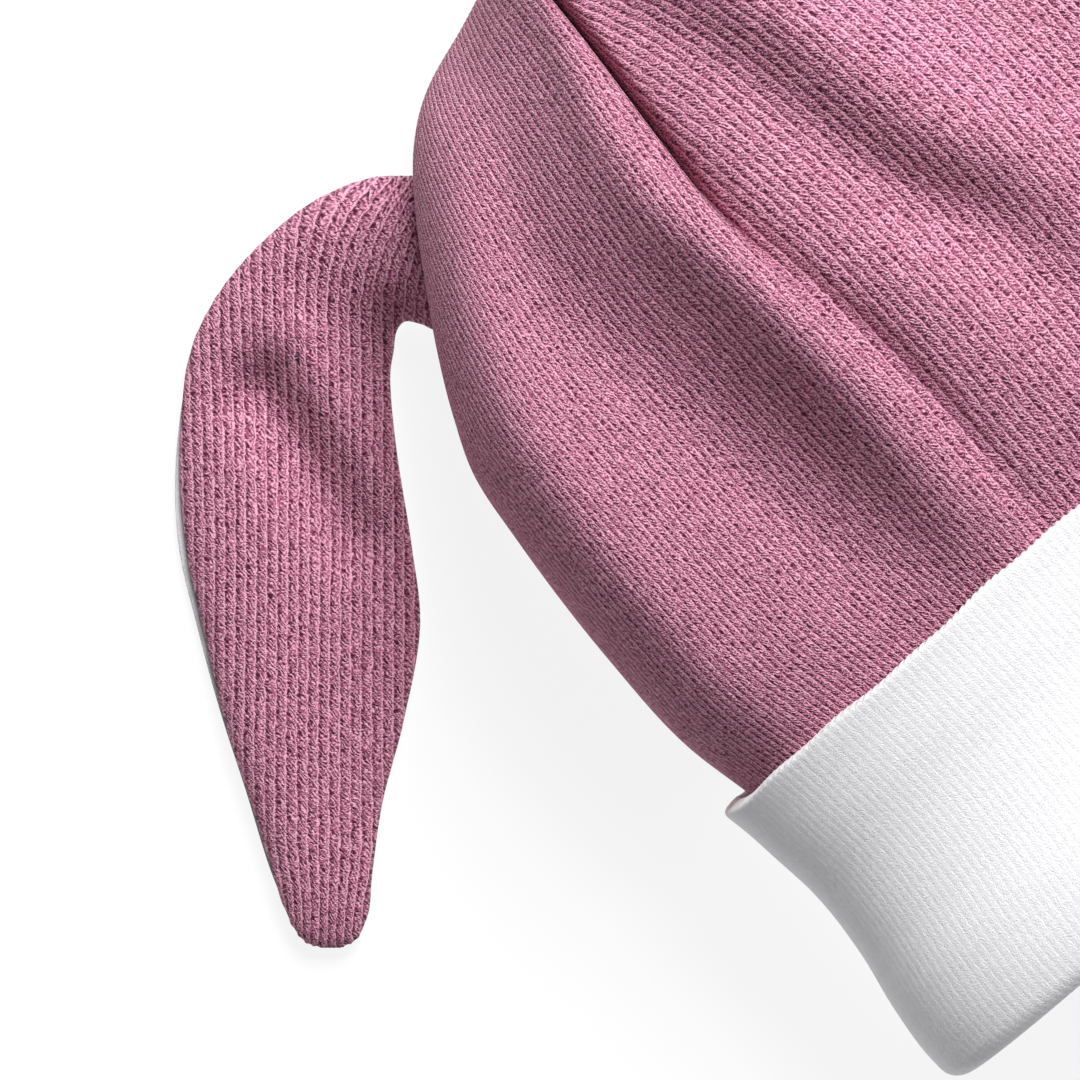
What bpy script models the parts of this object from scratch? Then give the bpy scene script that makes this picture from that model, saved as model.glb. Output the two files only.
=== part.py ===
"""Knitted baby hat with two long ears, lying on its back with its crown towards +Y.

The crown is a knitted tube with a seam across its far end, drawn in at the middle so that
folds run down its front. A white cuff is turned up round its edge, and each ear is a
coloured layer over a white one. All sizes are in metres, with the floor at z = 0.
"""

import math

import bpy
import numpy as np

MM = 0.001

# Crown
HALF_WIDTH = 70.5 * MM  # centre line to the side, at the cuff's edge
CROWN_HEIGHT = 130.0 * MM  # from the cuff's edge to the far end
CROWN_RISE = 64.0 * MM  # floor to the top, as the hat lies
CROWN_WALL = 1.8 * MM
CROWN_TUCK = 12.0 * MM  # edge of the crown that the cuff hides
SAG_RUN = 16.0 * MM  # length over which the back settles from the cuff down to the floor
CREASE_DEPTH = 14.0 * MM  # the deep fold down the front
CREASE_HALF_WIDTH = 3.6 * MM
CREASE_LEAN = 0.45  # how far the fold tucks under its left lip, as a share of its depth
CREASE_SHAPE = 1.6  # 2 is a round-bottomed fold, and less is sharper
FOLD_FADE_SHARE = 0.06  # the soft folds end over this share of the fabric, at the seam
FOLD_SIDE_SHARE = 0.4  # they begin over this share of the section's height, at its sides

# Cuff
CUFF_HEIGHT = 59.0 * MM
CUFF_WALL = 1.9 * MM
CUFF_SLOT = 2.5 * MM  # between the cuff's two layers, at the sides and front
CUFF_BED_GAP = 0.5 * MM  # the same under the hat, where its weight closes them
CUFF_EDGE_SHARE = 0.35  # rounding of the free edge, as a share of the wall

# Ears
EAR_LENGTH = 117.0 * MM  # from the middle of the root to the level of the tip
EAR_WIDTH = 39.0 * MM
EAR_WALL = 1.8 * MM
EAR_PUFF = 9.0 * MM  # thickness of the two layers together, at the middle of the ear
EAR_ROOT_LIFT = 6.0 * MM  # underside of the root above the floor
EAR_ROOT_OUT = 49.5 * MM  # middle of the root from the hat's centre line
EAR_ROOT_UP = 102.0 * MM  # middle of the root from the cuff's edge
EAR_EDGE = 1.1 * MM  # height of the coloured layer's edge
LINING_SHOWS = 1.2 * MM  # white layer beyond the coloured one, along the outer edge
EAR_SPLAY_DEG = {"left": 42.0, "right": 38.0}  # ear from the hat's own downward direction
EAR_ARCH_EXPONENT = 2.6  # 2 is a round section, and more is flatter with fuller edges
EAR_INSET_SHARE = 0.14  # the coloured layer's inner face stands in from its outer one
DENT_DEPTH = 2.6 * MM
DENT_HALF_WIDTH = 5.9 * MM

SEAT_GAP = 0.3 * MM  # between pieces that are sewn together
CUFF_EDGE_Y = CUFF_HEIGHT / 2  # the cuff's free edge, with the origin at mid cuff

# Facets
CROWN_COLUMNS = 76
CROWN_ROWS = 24
CUFF_COLUMNS = 60
CUFF_OUTER_SHARES = (0.10, 0.25, 0.45, 0.65, 0.82)  # rows down the cuff's outer face
CUFF_INNER_SHARES = (0.75, 0.50)  # rows up its inner face
CUFF_BEND_STEPS = 7
EAR_COLUMNS = 9
DENSE = 1440  # points on a ring before it is shared out
FRONT_BIAS_SHARE = 0.4  # columns are closer on the folded front, wider apart on the flat back
LIP_REACH_RATIO = 1.7  # the deep fold's lips from its middle, in its half widths
LIP_SHARE = 0.045  # share of the columns on each side of the fold
BACK_EXPONENT = 4.0  # squareness of the section's back
BACK_FLATTEN_RATIO = 1.04  # the back would reach this far down, and is cut flat at 1
SEAM_START_SHARE = 0.955  # the inner wall closes here, short of the seam
SHARP_DEG = 50.0  # edges steeper than this stay sharp

# One row for each section of the crown, from the cuff's edge to the seam. run is the share
# of the fabric's length along the front, out a share of HALF_WIDTH, up a share of
# CROWN_HEIGHT and rise a share of CROWN_RISE; round is the section's exponent.
CROWN_TABLE = np.array(
    [
        # run, side_out, side_up, side_rise, front_up, front_rise, back_up, back_rise, round
        (0.000, 1.000, 0.000, 0.470, 0.000, 0.905, 0.000, 0.000, 2.5),
        (0.075, 1.032, 0.092, 0.470, 0.092, 0.950, 0.092, -0.030, 2.5),
        (0.198, 1.034, 0.246, 0.470, 0.246, 0.985, 0.246, -0.030, 2.5),
        (0.352, 1.006, 0.438, 0.460, 0.438, 1.000, 0.438, -0.030, 2.5),
        (0.431, 0.982, 0.530, 0.440, 0.540, 1.000, 0.530, -0.030, 2.4),
        (0.520, 0.925, 0.605, 0.405, 0.650, 0.985, 0.610, -0.030, 2.3),
        (0.620, 0.855, 0.670, 0.350, 0.770, 0.920, 0.690, -0.020, 2.2),
        (0.714, 0.795, 0.710, 0.295, 0.872, 0.800, 0.765, -0.005, 2.1),
        (0.812, 0.725, 0.755, 0.240, 0.965, 0.620, 0.835, 0.020, 2.0),
        (0.893, 0.665, 0.790, 0.205, 1.005, 0.430, 0.880, 0.070, 2.0),
        (0.952, 0.630, 0.810, 0.185, 1.002, 0.285, 0.905, 0.120, 2.0),
        (1.000, 0.615, 0.822, 0.175, 0.960, 0.205, 0.925, 0.155, 2.0),
    ]
)

# Soft folds on the crown's front, by run. Each has its places across as shares of the
# section's half width, its lifts as shares of CROWN_RISE, and its breadth as a share of
# HALF_WIDTH.
FOLD_RUNS = (0.10, 0.26, 0.40, 0.55, 0.74)
FOLD_TABLE = {
    "left_swell": ((-0.74, -0.75, -0.74, -0.71, -0.62), (0.010, 0.030, 0.030, 0.020, 0.010), 0.15),
    "left_valley": ((-0.48, -0.51, -0.57, -0.59, -0.48), (-0.040, -0.095, -0.100, -0.085, -0.015), 0.17),
    "left_crest": ((-0.13, -0.155, -0.18, -0.17, -0.13), (0.025, 0.095, 0.110, 0.095, 0.050), 0.13),
    "right_ridge": ((0.17, 0.115, 0.05, 0.03, 0.02), (0.010, 0.030, 0.030, 0.012, 0.000), 0.07),
    "right_valley": ((0.33, 0.265, 0.16, 0.14, 0.14), (-0.010, -0.040, -0.055, -0.035, -0.010), 0.10),
    "right_swell": ((0.45, 0.42, 0.40, 0.40, 0.42), (0.010, 0.045, 0.065, 0.050, 0.020), 0.16),
    "far_valley": ((0.70, 0.68, 0.66, 0.64, 0.60), (-0.010, -0.030, -0.035, -0.030, -0.010), 0.12),
}

# The deep fold: run, across as a share of the section's half width, depth as a share of
# CREASE_DEPTH, and spread as a multiple of CREASE_HALF_WIDTH.
CREASE_TABLE = np.array(
    [
        # run, across, depth, spread
        (0.00, -0.095, 0.00, 1.8),
        (0.12, -0.095, 0.04, 1.8),
        (0.26, -0.095, 0.20, 1.5),
        (0.36, -0.075, 0.60, 1.15),
        (0.46, -0.045, 0.92, 1.0),
        (0.56, -0.020, 1.00, 1.0),
        (0.70, 0.005, 1.00, 1.0),
        (0.86, 0.015, 0.90, 1.0),
        (0.94, 0.010, 0.50, 1.0),
        (1.00, 0.000, 0.00, 1.0),
    ]
)

# The cuff leans out and in a little: depth below its edge, and how far it stands out, each
# as a share of CUFF_HEIGHT.
CUFF_FLARE_TABLE = np.array(
    [
        # below, out
        (0.00, 0.018),
        (0.08, 0.004),
        (0.19, -0.008),
        (0.34, -0.022),
        (0.56, -0.006),
        (0.73, 0.027),
        (0.88, 0.044),
        (1.00, 0.040),
    ]
)

# One row for each section of an ear, from inside the crown to the tip. across is a share of
# EAR_WIDTH, along a share of EAR_LENGTH, lift a share of EAR_ROOT_LIFT and puff a share of
# EAR_PUFF. The outer edge is the long curved one.
EAR_TABLE = np.array(
    [
        # outer_across, outer_along, inner_across, inner_along, lift, puff
        (0.520, -0.140, 0.560, 0.060, 1.00, 1.30),
        (0.200, -0.122, 0.260, 0.090, 1.00, 1.40),
        (-0.050, -0.108, 0.042, 0.106, 0.95, 1.40),
        (-0.274, -0.104, -0.056, 0.096, 0.70, 1.35),
        (-0.517, -0.070, -0.124, 0.092, 0.40, 1.25),
        (-0.752, -0.006, -0.162, 0.106, 0.15, 1.12),
        (-0.936, 0.069, -0.175, 0.134, 0.03, 1.00),
        (-1.051, 0.155, -0.190, 0.181, 0.00, 0.90),
        (-1.098, 0.284, -0.160, 0.284, 0.00, 0.88),
        (-1.081, 0.414, -0.098, 0.414, 0.00, 0.94),
        (-0.996, 0.543, -0.060, 0.536, 0.00, 1.00),
        (-0.897, 0.672, -0.132, 0.672, 0.00, 1.00),
        (-0.786, 0.787, -0.222, 0.787, 0.00, 0.95),
        (-0.692, 0.888, -0.265, 0.885, 0.00, 0.85),
        (-0.615, 0.953, -0.286, 0.948, 0.00, 0.72),
        (-0.538, 0.989, -0.333, 0.986, 0.00, 0.55),
        (-0.457, 1.000, -0.406, 1.000, 0.00, 0.34),
    ]
)
# The dent below the ear's bend: each end, across as a share of EAR_WIDTH and along as a
# share of EAR_LENGTH.
DENT_LINE_SHARES = ((-0.54, 0.20), (-0.32, 0.42))


def smooth_rows(table, at):
    """Columns of the table after its first, at each value of its first column, by a cubic
    through the rows whose slope at a row is that between its neighbours."""
    table = np.asarray(table, float)
    knots, values = table[:, 0], table[:, 1:]
    slopes = np.gradient(values, knots, axis=0)
    at = np.clip(np.atleast_1d(at), knots[0], knots[-1])
    i = np.clip(np.searchsorted(knots, at, side="right") - 1, 0, len(knots) - 2)
    step = (knots[i + 1] - knots[i])[:, None]
    s = (at - knots[i])[:, None] / step
    start = (1 + 2 * s) * (1 - s) ** 2 * values[i] + s * (1 - s) ** 2 * step * slopes[i]
    end = s**2 * (3 - 2 * s) * values[i + 1] + s**2 * (s - 1) * step * slopes[i + 1]
    return start + end


def ease(x):
    """0 below 0 and 1 above 1, with a smooth step between."""
    x = np.clip(x, 0.0, 1.0)
    return x * x * (3 - 2 * x)


def unit_ring(exponent):
    """A closed ring from the middle of the back, by the left side, the front and the right
    side, as (across from -1 to 1, front from 0 to 1, back from 0 to 1). The back is flat in
    the middle, where it lies on the floor."""
    turn = np.linspace(0.0, 2 * math.pi, DENSE, endpoint=False)
    sine, cosine = np.sin(turn), np.cos(turn)
    power = np.where(cosine > 0, 2 / BACK_EXPONENT, 2 / exponent)
    across = -np.sign(sine) * np.abs(sine) ** power
    height = np.abs(cosine) ** power
    front = np.where(cosine < 0, height, 0.0)
    back = np.where(cosine > 0, np.minimum(height * BACK_FLATTEN_RATIO, 1.0), 0.0)
    return across, front, back


def along_ring(ring, marks, shares, wanted):
    """Points along a closed ring at the wanted shares, which run evenly by length between
    the marked points' own shares."""
    closed = np.vstack([ring, ring[:1]])
    arc = np.concatenate([[0.0], np.cumsum(np.linalg.norm(np.diff(closed, axis=0), axis=1))])
    lengths = np.interp(wanted, shares, arc[marks])
    return np.column_stack([np.interp(lengths, arc, closed[:, axis]) for axis in range(3)])


def fold_lift(across, run):
    """Height of the soft folds above the plain section, for points across one ring."""
    fade = ease((1.0 - run) / FOLD_FADE_SHARE)
    lift = np.zeros_like(across)
    for places, lifts, breadth in FOLD_TABLE.values():
        rows = np.column_stack([FOLD_RUNS, places, lifts])
        place, height = smooth_rows(rows, run)[0]
        lift += height * CROWN_RISE * np.exp(-(((across - place) / breadth) ** 2))
    return lift * fade


def crown_ring(run, columns):
    """One ring of the crown's outer skin at a share of the fabric's length, going round from
    the middle of the back by the left side."""
    side_out, side_up, side_rise, front_up, front_rise, back_up, back_rise, power = smooth_rows(
        CROWN_TABLE, run
    )[0]
    across, front, back = unit_ring(power)
    half = side_out * HALF_WIDTH
    side = np.array([side_up * CROWN_HEIGHT, side_rise * CROWN_RISE])
    top = np.array([front_up * CROWN_HEIGHT, front_rise * CROWN_RISE])
    bed = (CUFF_WALL + CUFF_BED_GAP) * (1 - ease(back_up * CROWN_HEIGHT / SAG_RUN))
    under = np.array([back_up * CROWN_HEIGHT, back_rise * CROWN_RISE + bed])
    x = across * half
    yz = side + front[:, None] * (top - side) + back[:, None] * (under - side)
    outward = (top - side) / np.linalg.norm(top - side)

    place, depth, spread = smooth_rows(CREASE_TABLE, run)[0]
    reach = spread * CREASE_HALF_WIDTH
    away = (x - place * half) / reach
    sunk = CREASE_DEPTH * depth * np.exp(-np.abs(away) ** CREASE_SHAPE) * (front > 0)
    lift = fold_lift(across, run) * ease(front / FOLD_SIDE_SHARE) - sunk
    yz = yz + lift[:, None] * outward
    leaned = x - CREASE_LEAN * sunk
    ring = np.column_stack([leaned, yz[:, 0] + CUFF_EDGE_Y, np.maximum(yz[:, 1], 0.0)])

    # Columns keep to the sides, to the fold's two lips and to its bottom.
    quarter = DENSE // 4
    lips = place * half + np.array([-LIP_REACH_RATIO, 0.0, LIP_REACH_RATIO]) * reach
    marks = quarter + np.searchsorted(x[quarter : 3 * quarter], lips)
    marks = np.concatenate([[0, quarter], marks, [3 * quarter, DENSE]])
    shares = np.array([0.0, 0.25, 0.5 - LIP_SHARE, 0.5, 0.5 + LIP_SHARE, 0.75, 1.0])
    turn = np.arange(columns) / columns
    crowded = turn + FRONT_BIAS_SHARE / (2 * math.pi) * np.sin(2 * math.pi * turn)
    return along_ring(ring, marks, shares, crowded)


def crown_skin(rows, columns, last_run):
    """The crown's outer skin as rings: the tucked edge first, then up to last_run."""
    runs = np.linspace(0.0, last_run, rows)
    rings = [crown_ring(run, columns) for run in runs]
    edge = rings[0]
    tucked = [edge - np.array([0.0, CROWN_TUCK * share, 0.0]) for share in (1.0, 0.5)]
    return np.array(tucked + rings)


def skin_normals(grid):
    """Unit normals of a skin that closes round its columns, pointing outwards."""
    along = np.gradient(grid, axis=0)
    round_ = np.roll(grid, -1, axis=1) - np.roll(grid, 1, axis=1)
    normal = np.cross(round_, along)
    return normal / np.linalg.norm(normal, axis=2, keepdims=True)


def material(name, colour, roughness):
    made = bpy.data.materials.new(name)
    made.use_nodes = True
    shader = made.node_tree.nodes["Principled BSDF"]
    shader.inputs["Base Color"].default_value = (*colour, 1.0)
    shader.inputs["Roughness"].default_value = roughness
    shader.inputs["Metallic"].default_value = 0.0
    return made


def solid(name, points, faces, finish):
    """A named object from points and faces, smooth but for its sharp edges."""
    mesh = bpy.data.meshes.new(name)
    mesh.from_pydata([tuple(p) for p in points], [], [tuple(map(int, f)) for f in faces])
    mesh.update()
    mesh.shade_smooth()
    mesh.set_sharp_from_angle(angle=math.radians(SHARP_DEG))
    made = bpy.data.objects.new(name, mesh)
    bpy.context.scene.collection.objects.link(made)
    if finish:
        made.data.materials.append(finish)
    return made


def ring_faces(first, second, columns):
    """Quads between two closed rings whose points start at first and second."""
    here = np.arange(columns)
    after = (here + 1) % columns
    return np.column_stack([first + here, first + after, second + after, second + here])


def tube_faces(start, rows, columns):
    """Quads of a tube of closed rings whose points start at start, facing outwards."""
    rings = [start + i * columns for i in range(rows)]
    return [tuple(f) for a, b in zip(rings, rings[1:]) for f in ring_faces(a, b, columns)]


def crown_form(outset):
    """Rings of the whole crown's outer form, grown by outset, as one closed form."""
    skin = crown_skin(CROWN_ROWS, CROWN_COLUMNS, 1.0)
    skin = skin + skin_normals(skin) * outset
    rows, columns = skin.shape[:2]
    faces = tube_faces(0, rows, columns)
    faces.append(tuple(range(columns))[::-1])
    faces.append(tuple((rows - 1) * columns + np.arange(columns)))
    return skin.reshape(-1, 3), faces


def make_crown(finish):
    """An outer and an inner skin, joined round the lower edge and each closed at the seam."""
    outer = crown_skin(CROWN_ROWS, CROWN_COLUMNS, 1.0)
    inner = crown_skin(CROWN_ROWS, CROWN_COLUMNS, SEAM_START_SHARE)
    inner = inner - skin_normals(inner) * CROWN_WALL
    rows, columns = outer.shape[:2]
    inside = rows * columns
    faces = tube_faces(0, rows, columns)
    faces += [f[::-1] for f in tube_faces(inside, rows, columns)]
    faces += [tuple(f[::-1]) for f in ring_faces(0, inside, columns)]
    last = (rows - 1) * columns + np.arange(columns)
    faces.append(tuple(last))
    faces.append(tuple(inside + last[::-1]))
    points = np.vstack([outer.reshape(-1, 3), inner.reshape(-1, 3)])
    return solid("crown", points, faces, finish)


def cuff_ring(below, inset, back_inset, columns):
    """A ring round the cuff at a distance below its edge, set in from its outer face. It
    follows the crown's own edge section, so that the two fit."""
    edge_half, edge_rise, power = CROWN_TABLE[0, 1], CROWN_TABLE[0, 5], CROWN_TABLE[0, 8]
    side_rise = CROWN_TABLE[0, 3] * CROWN_RISE
    flare = smooth_rows(CUFF_FLARE_TABLE, below / CUFF_HEIGHT)[0][0] * CUFF_HEIGHT
    outset = CUFF_SLOT + CUFF_WALL + flare - inset
    across, front, back = unit_ring(power)
    x = across * (edge_half * HALF_WIDTH + outset)
    top = edge_rise * CROWN_RISE + outset
    z = side_rise + front * (top - side_rise) + back * (back_inset - side_rise)
    ring = np.column_stack([x, np.full(DENSE, CUFF_EDGE_Y - below), np.maximum(z, 0.0)])
    return along_ring(ring, [0, DENSE // 2, DENSE], [0.0, 0.5, 1.0], np.arange(columns) / columns)


def cuff_profile():
    """The hairpin of the folded cuff as (below, inset, back inset): down the outer face,
    round the rim, up the inner face, and back between the two layers."""
    side = np.cumsum([0.0, CUFF_WALL, CUFF_SLOT, CUFF_WALL])
    back = np.cumsum([0.0, CUFF_WALL, CUFF_BED_GAP, CUFF_WALL])
    radius = side[3] / 2
    straight = CUFF_HEIGHT - radius
    inner_top = CROWN_TUCK + SEAT_GAP
    edge = CUFF_EDGE_SHARE * CUFF_WALL

    def bend(layer, steps):
        """A half circle from one face of the outer layer to the same one of the inner."""
        for turn in np.linspace(0.0, math.pi, steps):
            share = (1 - math.cos(turn)) / 2
            reach = (side[3 - layer] - side[layer]) / 2
            inset = side[layer] + 2 * reach * share
            back_inset = back[layer] + (back[3 - layer] - back[layer]) * share
            yield straight + reach * math.sin(turn), inset, back_inset

    def level(shares, layer):
        return [(share * straight, side[layer], back[layer]) for share in shares]

    rows = [(0.0, edge, edge), (edge, 0.0, 0.0)]
    rows += level(CUFF_OUTER_SHARES, 0)
    rows += bend(0, CUFF_BEND_STEPS)
    rows += level(CUFF_INNER_SHARES, 3)
    rows += [(inner_top, side[3], back[3]), (inner_top, side[2], back[2])]
    rows += level(CUFF_INNER_SHARES[::-1], 2)
    rows += list(bend(1, CUFF_BEND_STEPS // 2))[::-1]
    rows += level(CUFF_INNER_SHARES, 1)
    rows += level(CUFF_OUTER_SHARES[1::-1], 1)
    rows += [(0.0, side[1], back[1])]
    return rows


def make_cuff(finish):
    """The hairpin carried round the hat."""
    rings = np.array([cuff_ring(*row, CUFF_COLUMNS) for row in cuff_profile()])
    rows, columns = rings.shape[:2]
    faces = tube_faces(0, rows, columns)
    faces += [tuple(f) for f in ring_faces((rows - 1) * columns, 0, columns)]
    return solid("cuff", rings.reshape(-1, 3), [f[::-1] for f in faces], finish)


def ear_sections(side):
    """The ear's two edges in the hat's frame, and its lift and puff, by section."""
    splay = math.radians(EAR_SPLAY_DEG[side])
    mirror = -1.0 if side == "left" else 1.0
    along = np.array([mirror * math.sin(splay), -math.cos(splay)])
    across = np.array([-mirror * math.cos(splay), -math.sin(splay)])
    root = np.array([mirror * EAR_ROOT_OUT, CUFF_EDGE_Y + EAR_ROOT_UP])
    sizes = np.array([EAR_WIDTH, EAR_LENGTH])
    turn = np.array([across, along]) * sizes[:, None]
    outer = root + EAR_TABLE[:, 0:2] @ turn
    inner = root + EAR_TABLE[:, 2:4] @ turn
    lift = EAR_TABLE[:, 4] * EAR_ROOT_LIFT
    puff = EAR_TABLE[:, 5] * EAR_PUFF
    return outer, inner, lift, puff


def dent(across_share):
    """Depth of the ear's dent on its grid, where across_share runs from the outer edge."""
    flat = EAR_TABLE[:, None, 0:2] * (1 - across_share)[None, :, None]
    flat = flat + EAR_TABLE[:, None, 2:4] * across_share[None, :, None]
    flat = flat * np.array([EAR_WIDTH, EAR_LENGTH])
    start, end = (np.array(p) * np.array([EAR_WIDTH, EAR_LENGTH]) for p in DENT_LINE_SHARES)
    line = end - start
    near = np.clip(((flat - start) @ line) / (line @ line), 0.0, 1.0)
    away = np.linalg.norm(flat - start - near[..., None] * line, axis=2)
    return DENT_DEPTH * np.exp(-((away / DENT_HALF_WIDTH) ** 2))


def sheet_pair(name, upper, lower, finish):
    """A closed solid between an upper and a lower sheet on the same grid."""
    rows, columns = upper.shape[:2]
    size = rows * columns
    index = np.arange(size).reshape(rows, columns)
    faces = [
        (index[i, j], index[i, j + 1], index[i + 1, j + 1], index[i + 1, j])
        for i in range(rows - 1)
        for j in range(columns - 1)
    ]
    under = [tuple(size + k for k in face[::-1]) for face in faces]
    rim = np.concatenate([index[0, :-1], index[:-1, -1], index[-1, :0:-1], index[:0:-1, 0]])
    after = np.roll(rim, -1)
    walls = [(b, a, size + a, size + b) for a, b in zip(rim, after)]
    points = np.vstack([upper.reshape(-1, 3), lower.reshape(-1, 3)])
    made = solid(name, points, faces + under + walls, finish)
    mesh = made.data
    corners = np.array([v.co for v in mesh.vertices])
    volume = sum(
        np.dot(corners[p.vertices[0]], np.cross(corners[p.vertices[k]], corners[p.vertices[k + 1]]))
        for p in mesh.polygons
        for k in range(1, len(p.vertices) - 1)
    )
    if volume < 0:
        mesh.flip_normals()
    return made


def make_ear(side, knit, lining, crown_cutter):
    """The coloured layer arched over the white one, both cut back to the crown."""
    outer, inner, lift, puff = ear_sections(side)
    share = (1 - np.cos(np.linspace(0.0, math.pi, EAR_COLUMNS))) / 2
    from_middle = np.abs(2 * share - 1)
    plan = outer[:, None] * (1 - share)[None, :, None] + inner[:, None] * share[None, :, None]

    lining_base = np.repeat(lift[:, None], EAR_COLUMNS, axis=1)
    outwards = (outer - inner) / np.linalg.norm(outer - inner, axis=1, keepdims=True)
    shown = plan + outwards[:, None] * (LINING_SHOWS * (1 - share))[None, :, None]
    lining_low = np.dstack([shown, lining_base])
    lining_high = np.dstack([shown, lining_base + EAR_WALL])

    base = lining_base + EAR_WALL + SEAT_GAP
    arch = np.sqrt(np.clip(1 - from_middle**EAR_ARCH_EXPONENT, 0.0, 1.0))[None, :]
    room = (puff - EAR_WALL - SEAT_GAP - EAR_EDGE)[:, None]
    top = base + EAR_EDGE + np.maximum(room, 0.0) * arch - dent(share) * arch
    upper = np.dstack([plan, top])
    middle = plan.mean(axis=1, keepdims=True)
    inset = plan + (middle - plan) * EAR_INSET_SHARE
    lower = np.dstack([inset, np.maximum(top - EAR_WALL, base)])
    lower[:, [0, -1], 0:2] = plan[:, [0, -1]]
    lower[[0, -1], :, 0:2] = plan[[0, -1]]
    lower[-1, :, 2] = base[-1]

    layers = [
        sheet_pair(f"ear_{side}_outer", upper, lower, knit),
        sheet_pair(f"ear_{side}_lining", lining_high, lining_low, lining),
    ]
    for layer in layers:
        cut = layer.modifiers.new("cut_to_crown", "BOOLEAN")
        cut.operation = "DIFFERENCE"
        cut.object = crown_cutter


def main():
    for old in list(bpy.data.objects):
        bpy.data.objects.remove(old)
    mauve = material("mauve_knit", (0.43, 0.17, 0.26), 0.95)
    white = material("white_knit", (0.86, 0.86, 0.88), 0.95)
    make_crown(mauve)
    make_cuff(white)
    cutter = solid("crown_cutter", *crown_form(SEAT_GAP), None)
    cutter.hide_render = True
    cutter.display_type = "WIRE"
    for side in ("left", "right"):
        make_ear(side, mauve, white, cutter)


main()
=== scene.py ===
"""Looks of the knitted baby hat: fine stitches, soft folds, rolled ears and a brushed cuff.

Every knitted surface is a grid worked out with numpy. A point's place on the grid is its
stitch column and stitch row, kept in the piece's own UV map, which the materials read to
draw each stitch. All sizes are in metres, with the floor at z = 0.
"""

import math

import bpy
import numpy as np
from mathutils import Matrix


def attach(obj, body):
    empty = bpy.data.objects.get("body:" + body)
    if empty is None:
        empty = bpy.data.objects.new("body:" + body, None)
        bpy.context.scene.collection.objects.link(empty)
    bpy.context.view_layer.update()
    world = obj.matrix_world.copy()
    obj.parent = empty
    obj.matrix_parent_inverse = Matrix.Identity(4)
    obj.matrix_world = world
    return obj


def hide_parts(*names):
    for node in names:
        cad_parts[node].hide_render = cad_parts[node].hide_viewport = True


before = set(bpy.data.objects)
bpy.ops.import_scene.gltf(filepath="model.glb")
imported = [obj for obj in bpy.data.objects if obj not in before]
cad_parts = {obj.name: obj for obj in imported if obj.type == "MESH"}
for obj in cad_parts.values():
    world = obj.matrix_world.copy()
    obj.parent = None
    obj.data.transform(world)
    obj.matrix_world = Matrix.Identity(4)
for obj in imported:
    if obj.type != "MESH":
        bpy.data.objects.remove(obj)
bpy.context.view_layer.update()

MM = 0.001

# The hat's own sizes, the same as the solids have
HALF_WIDTH = 70.5 * MM
CROWN_HEIGHT = 130.0 * MM
CROWN_RISE = 64.0 * MM
CROWN_WALL = 1.8 * MM
CROWN_TUCK = 12.0 * MM
SAG_RUN = 16.0 * MM  # from here on the back lies on the floor, past the cuff under it
FOLD_SIDE_SHARE = 0.4  # the folds fade in over this share of the front's height
BACK_EXPONENT = 4.0
BACK_FLATTEN_RATIO = 1.04
SEAM_START_SHARE = 0.955

CUFF_HEIGHT = 59.0 * MM
CUFF_WALL = 1.9 * MM
CUFF_SLOT = 2.5 * MM
CUFF_BED_GAP = 0.5 * MM
CUFF_EDGE_Y = CUFF_HEIGHT / 2

EAR_LENGTH = 117.0 * MM
EAR_WIDTH = 39.0 * MM
EAR_WALL = 1.8 * MM
EAR_PUFF = 9.0 * MM
EAR_ROOT_LIFT = 6.0 * MM
EAR_ROOT_OUT = 49.5 * MM
EAR_ROOT_UP = 102.0 * MM
EAR_EDGE = 1.1 * MM
LINING_SHOWS = 1.2 * MM
EAR_SPLAY_DEG = {"left": 42.0, "right": 38.0}
EAR_ARCH_EXPONENT = 2.6
SEAT_GAP = 0.3 * MM

# The deep fold, a narrow slot under a lip here and a wider groove in the plain solids
CREASE_DEPTH = 8.0 * MM
CREASE_HALF_WIDTH = 0.8 * MM
CREASE_LIP = 1.6 * MM
CREASE_LEAN = 0.15
CREASE_SHAPE = 1.6
BANK_DEPTH = 3.4 * MM  # the cloth right of the deep fold starts this far below its lip
BANK_REACH = 5.0 * MM
BANK_STEP = 0.4 * MM
FOLD_FADE_SHARE = 0.18  # the soft folds fade out over this share of the crown's far end

# Gauge of the knit
CROWN_WALES = 240
CROWN_COURSES = 125
CUFF_WALES = 246
CUFF_COURSE = 1.2 * MM
EAR_WALE = 1.78 * MM
EAR_COURSE = 1.28 * MM
EAR_ROWS = 200  # added to the rows of the ears' faces, which keeps them off the row v = 0 that takes the beige edge tint
RIB_RELIEF = 0.13 * MM  # the crown's stitch columns stand this far out of the cloth
CUFF_RELIEF = 0.045 * MM
EAR_RELIEF = 0.09 * MM
FRONT_FROM, FRONT_TO = 0.25, 0.75  # shares of a ring between which it is finely divided
RIB_REACH, RIB_FADE = 0.27, 0.02  # ribs end this share of a ring from the front's middle
CROWN_ROWS, INNER_ROWS = 112, 18

DENSE = 2880  # points round a ring before they are gathered into stitch columns

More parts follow.
